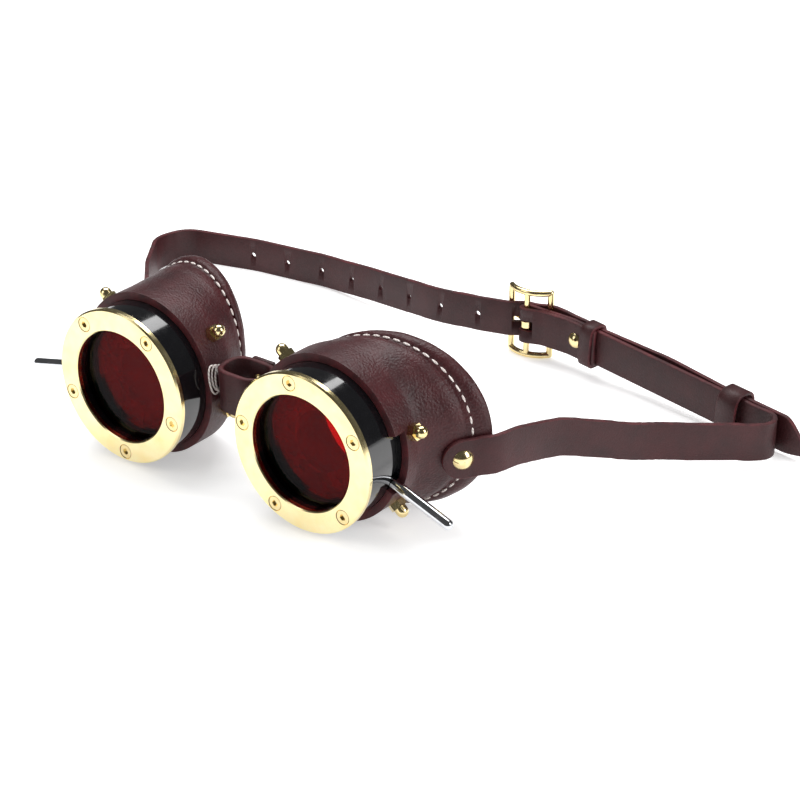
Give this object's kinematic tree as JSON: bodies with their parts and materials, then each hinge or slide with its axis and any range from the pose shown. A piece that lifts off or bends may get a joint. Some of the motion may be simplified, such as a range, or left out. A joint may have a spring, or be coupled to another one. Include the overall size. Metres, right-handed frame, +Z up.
{
  "type": "steampunk goggles",
  "caption": "Pair of round-lens goggles with gold bezels, black lens housings holding lever-driven iris shutters, burgundy leather cups and a buckled leather head strap.",
  "frame": {"origin": "on the surface the goggles lie on, under the middle of the whole object; X = 0 is the plane midway between the lenses", "axes": "+X toward the wearer's left cup (at the right when seen from the front, called right_ here), +Y from the bezels back toward the strap, +Z up; the lens axes run along Y"},
  "size_m": [0.3165, 0.174, 0.0647],
  "materials": {
    "cup_leather": "grained satin burgundy leather",
    "strap_leather": "fine grained satin burgundy leather",
    "edge_leather": "burgundy leather with open cut edges",
    "bezel_metal": "polished pale gold plate",
    "fastener_metal": "polished gold plate",
    "housing_metal": "gloss black lacquer",
    "iris_metal": "satin black",
    "blade_steel": "dark blued satin",
    "lever_steel": "polished steel",
    "red_glass": "dark red tinted polished glass"
  },
  "bodies": {
    "goggles": {"right_cup": "cup_leather", "right_rim_binding": "cup_leather", "right_housing": "housing_metal", "right_bezel": "bezel_metal", "right_bezel_screws": "fastener_metal", "right_lens": "red_glass", "right_lens_ring": "iris_metal", "right_pivot_plate": "iris_metal", "right_back_ring": "iris_metal", "right_cup_screws": "fastener_metal", "right_acorn_nuts": "fastener_metal", "right_strap_rivet": "fastener_metal", "left_cup": "cup_leather", "left_rim_binding": "cup_leather", "left_housing": "housing_metal", "left_bezel": "bezel_metal", "left_bezel_screws": "fastener_metal", "left_lens": "red_glass", "left_lens_ring": "iris_metal", "left_pivot_plate": "iris_metal", "left_back_ring": "iris_metal", "left_cup_screws": "fastener_metal", "left_acorn_nuts": "fastener_metal", "left_strap_rivet": "fastener_metal", "nose_bridge": "edge_leather", "bridge_rivet": "fastener_metal", "right_strap": "strap_leather", "left_strap": "strap_leather", "buckle_rivet": "fastener_metal", "fixed_keeper": "strap_leather"},
    "right_iris_drive": {"right_iris_ring": "iris_metal", "right_lever": "lever_steel"},
    "right_leaf_1": {"right_blade_1": "blade_steel"},
    "right_leaf_2": {"right_blade_2": "blade_steel"},
    "right_leaf_3": {"right_blade_3": "blade_steel"},
    "right_leaf_4": {"right_blade_4": "blade_steel"},
    "right_leaf_5": {"right_blade_5": "blade_steel"},
    "right_leaf_6": {"right_blade_6": "blade_steel"},
    "right_leaf_7": {"right_blade_7": "blade_steel"},
    "right_leaf_8": {"right_blade_8": "blade_steel"},
    "left_iris_drive": {"left_iris_ring": "iris_metal", "left_lever": "lever_steel"},
    "left_leaf_1": {"left_blade_1": "blade_steel"},
    "left_leaf_2": {"left_blade_2": "blade_steel"},
    "left_leaf_3": {"left_blade_3": "blade_steel"},
    "left_leaf_4": {"left_blade_4": "blade_steel"},
    "left_leaf_5": {"left_blade_5": "blade_steel"},
    "left_leaf_6": {"left_blade_6": "blade_steel"},
    "left_leaf_7": {"left_blade_7": "blade_steel"},
    "left_leaf_8": {"left_blade_8": "blade_steel"},
    "buckle_frame": {"buckle_frame": "fastener_metal"},
    "buckle_prong": {"buckle_prong": "fastener_metal"},
    "sliding_keeper": {"sliding_keeper": "strap_leather"}
  },
  "joints": [
    {"name": "right_iris_turn", "type": "hinge", "parent": "goggles", "child": "right_iris_drive", "pos_m": [0.0425, -0.06942, 0.0318], "axis": [0, -1, 0], "range_deg": [0, 30]},
    {"name": "right_leaf_1_turn", "type": "hinge", "parent": "goggles", "child": "right_leaf_1", "pos_m": [0.0657, -0.07602, 0.0318], "axis": [0, 1, 0], "range_deg": [0, 25]},
    {"name": "right_leaf_2_turn", "type": "hinge", "parent": "goggles", "child": "right_leaf_2", "pos_m": [0.0589, -0.07572, 0.0154], "axis": [0, 1, 0], "range_deg": [0, 25]},
    {"name": "right_leaf_3_turn", "type": "hinge", "parent": "goggles", "child": "right_leaf_3", "pos_m": [0.0425, -0.07542, 0.0086], "axis": [0, 1, 0], "range_deg": [0, 25]},
    {"name": "right_leaf_4_turn", "type": "hinge", "parent": "goggles", "child": "right_leaf_4", "pos_m": [0.0261, -0.07512, 0.0154], "axis": [0, 1, 0], "range_deg": [0, 25]},
    {"name": "right_leaf_5_turn", "type": "hinge", "parent": "goggles", "child": "right_leaf_5", "pos_m": [0.0193, -0.07482, 0.0318], "axis": [0, 1, 0], "range_deg": [0, 25]},
    {"name": "right_leaf_6_turn", "type": "hinge", "parent": "goggles", "child": "right_leaf_6", "pos_m": [0.0261, -0.07452, 0.0482], "axis": [0, 1, 0], "range_deg": [0, 25]},
    {"name": "right_leaf_7_turn", "type": "hinge", "parent": "goggles", "child": "right_leaf_7", "pos_m": [0.0425, -0.07422, 0.055], "axis": [0, 1, 0], "range_deg": [0, 25]},
    {"name": "right_leaf_8_turn", "type": "hinge", "parent": "goggles", "child": "right_leaf_8", "pos_m": [0.0589, -0.07392, 0.0482], "axis": [0, 1, 0], "range_deg": [0, 25]},
    {"name": "left_iris_turn", "type": "hinge", "parent": "goggles", "child": "left_iris_drive", "pos_m": [-0.0425, -0.06942, 0.0318], "axis": [0, 1, 0], "range_deg": [0, 30]},
    {"name": "left_leaf_1_turn", "type": "hinge", "parent": "goggles", "child": "left_leaf_1", "pos_m": [-0.0657, -0.07602, 0.0318], "axis": [0, -1, 0], "range_deg": [0, 25]},
    {"name": "left_leaf_2_turn", "type": "hinge", "parent": "goggles", "child": "left_leaf_2", "pos_m": [-0.0589, -0.07572, 0.0154], "axis": [0, -1, 0], "range_deg": [0, 25]},
    {"name": "left_leaf_3_turn", "type": "hinge", "parent": "goggles", "child": "left_leaf_3", "pos_m": [-0.0425, -0.07542, 0.0086], "axis": [0, -1, 0], "range_deg": [0, 25]},
    {"name": "left_leaf_4_turn", "type": "hinge", "parent": "goggles", "child": "left_leaf_4", "pos_m": [-0.0261, -0.07512, 0.0154], "axis": [0, -1, 0], "range_deg": [0, 25]},
    {"name": "left_leaf_5_turn", "type": "hinge", "parent": "goggles", "child": "left_leaf_5", "pos_m": [-0.0193, -0.07482, 0.0318], "axis": [0, -1, 0], "range_deg": [0, 25]},
    {"name": "left_leaf_6_turn", "type": "hinge", "parent": "goggles", "child": "left_leaf_6", "pos_m": [-0.0261, -0.07452, 0.0482], "axis": [0, -1, 0], "range_deg": [0, 25]},
    {"name": "left_leaf_7_turn", "type": "hinge", "parent": "goggles", "child": "left_leaf_7", "pos_m": [-0.0425, -0.07422, 0.055], "axis": [0, -1, 0], "range_deg": [0, 25]},
    {"name": "left_leaf_8_turn", "type": "hinge", "parent": "goggles", "child": "left_leaf_8", "pos_m": [-0.0589, -0.07392, 0.0482], "axis": [0, -1, 0], "range_deg": [0, 25]},
    {"name": "buckle_tilt", "type": "hinge", "parent": "goggles", "child": "buckle_frame", "pos_m": [0.024, 0.07898, 0.0152], "axis": [0, 0, 1], "range_deg": [-2.5, 0]},
    {"name": "prong_swing", "type": "hinge", "parent": "buckle_frame", "child": "buckle_prong", "pos_m": [0.024, 0.07898, 0.0152], "axis": [0, 0, -1], "range_deg": [0, 12]},
    {"name": "keeper_slide", "type": "slide", "parent": "goggles", "child": "sliding_keeper", "axis": [0.9862, -0.1562, -0.0544], "range_m": [-0.06, 0]}
  ],
  "couplings": [
    {"joint": "right_leaf_1_turn", "follows": "right_iris_turn", "ratio": 0.8333},
    {"joint": "right_leaf_2_turn", "follows": "right_iris_turn", "ratio": 0.8333},
    {"joint": "right_leaf_3_turn", "follows": "right_iris_turn", "ratio": 0.8333},
    {"joint": "right_leaf_4_turn", "follows": "right_iris_turn", "ratio": 0.8333},
    {"joint": "right_leaf_5_turn", "follows": "right_iris_turn", "ratio": 0.8333},
    {"joint": "right_leaf_6_turn", "follows": "right_iris_turn", "ratio": 0.8333},
    {"joint": "right_leaf_7_turn", "follows": "right_iris_turn", "ratio": 0.8333},
    {"joint": "right_leaf_8_turn", "follows": "right_iris_turn", "ratio": 0.8333},
    {"joint": "left_leaf_1_turn", "follows": "left_iris_turn", "ratio": 0.8333},
    {"joint": "left_leaf_2_turn", "follows": "left_iris_turn", "ratio": 0.8333},
    {"joint": "left_leaf_3_turn", "follows": "left_iris_turn", "ratio": 0.8333},
    {"joint": "left_leaf_4_turn", "follows": "left_iris_turn", "ratio": 0.8333},
    {"joint": "left_leaf_5_turn", "follows": "left_iris_turn", "ratio": 0.8333},
    {"joint": "left_leaf_6_turn", "follows": "left_iris_turn", "ratio": 0.8333},
    {"joint": "left_leaf_7_turn", "follows": "left_iris_turn", "ratio": 0.8333},
    {"joint": "left_leaf_8_turn", "follows": "left_iris_turn", "ratio": 0.8333}
  ]
}
